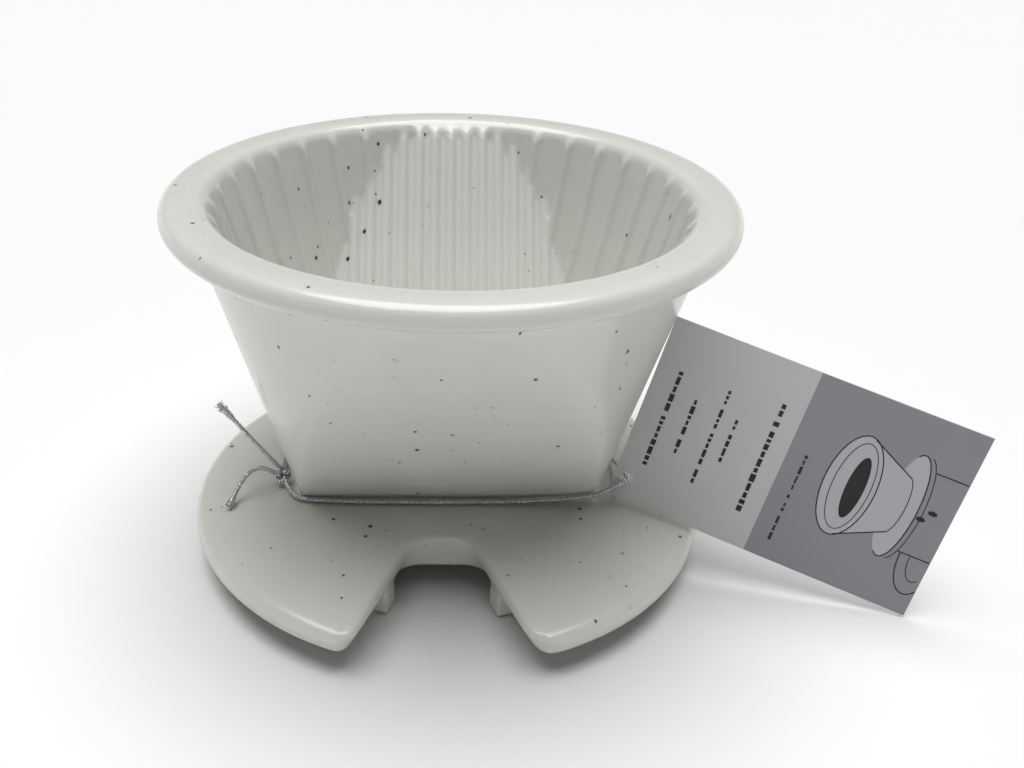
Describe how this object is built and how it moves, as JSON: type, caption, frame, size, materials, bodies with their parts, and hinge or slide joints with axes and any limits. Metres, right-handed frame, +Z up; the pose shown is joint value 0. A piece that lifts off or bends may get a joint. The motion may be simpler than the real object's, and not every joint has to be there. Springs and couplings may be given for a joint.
{
  "type": "pour over dripper",
  "caption": "Round-rimmed ceramic pour over dripper with a ribbed wedge cup, notched saucer, foot ring, and a hang tag on an elastic cord.",
  "frame": {"origin": "on the axis of the round rim, at the underside of the foot ring that the part stands on", "axes": "+Z up through the cup's mouth, +X along the long side of the filter slot, -Y towards the sight notch"},
  "size_m": [0.17, 0.12, 0.0835],
  "materials": {
    "glazed_ceramic": "glossy warm white glaze with sparse dark iron specks",
    "elastic_cord": "silver metallic thread braided over a thin elastic core",
    "tag_card": "matt printed card, light grey with a darker panel"
  },
  "bodies": {
    "root": {"front_panel": "glazed_ceramic", "rear_panel": "glazed_ceramic", "left_end_wall": "glazed_ceramic", "right_end_wall": "glazed_ceramic", "rolled_rim": "glazed_ceramic", "cup_floor": "glazed_ceramic", "saucer_flange": "glazed_ceramic", "foot_ring": "glazed_ceramic", "left_side_ribs": "glazed_ceramic", "right_side_ribs": "glazed_ceramic", "front_panel_ribs": "glazed_ceramic", "rear_panel_ribs": "glazed_ceramic", "tag_cord": "elastic_cord", "upper_cord_tail": "elastic_cord", "lower_cord_tail": "elastic_cord", "cord_knot": "elastic_cord", "upper_cord_tip": "elastic_cord", "lower_cord_tip": "elastic_cord"},
    "tag": {"hang_tag": "tag_card"}
  },
  "joints": [
    {"name": "tag_swing", "type": "hinge", "parent": "root", "child": "tag", "pos_m": [0.0394, -0.0137, 0.0206], "axis": [-0.2802, -0.0823, -0.9564], "range_deg": [0, 45]}
  ]
}
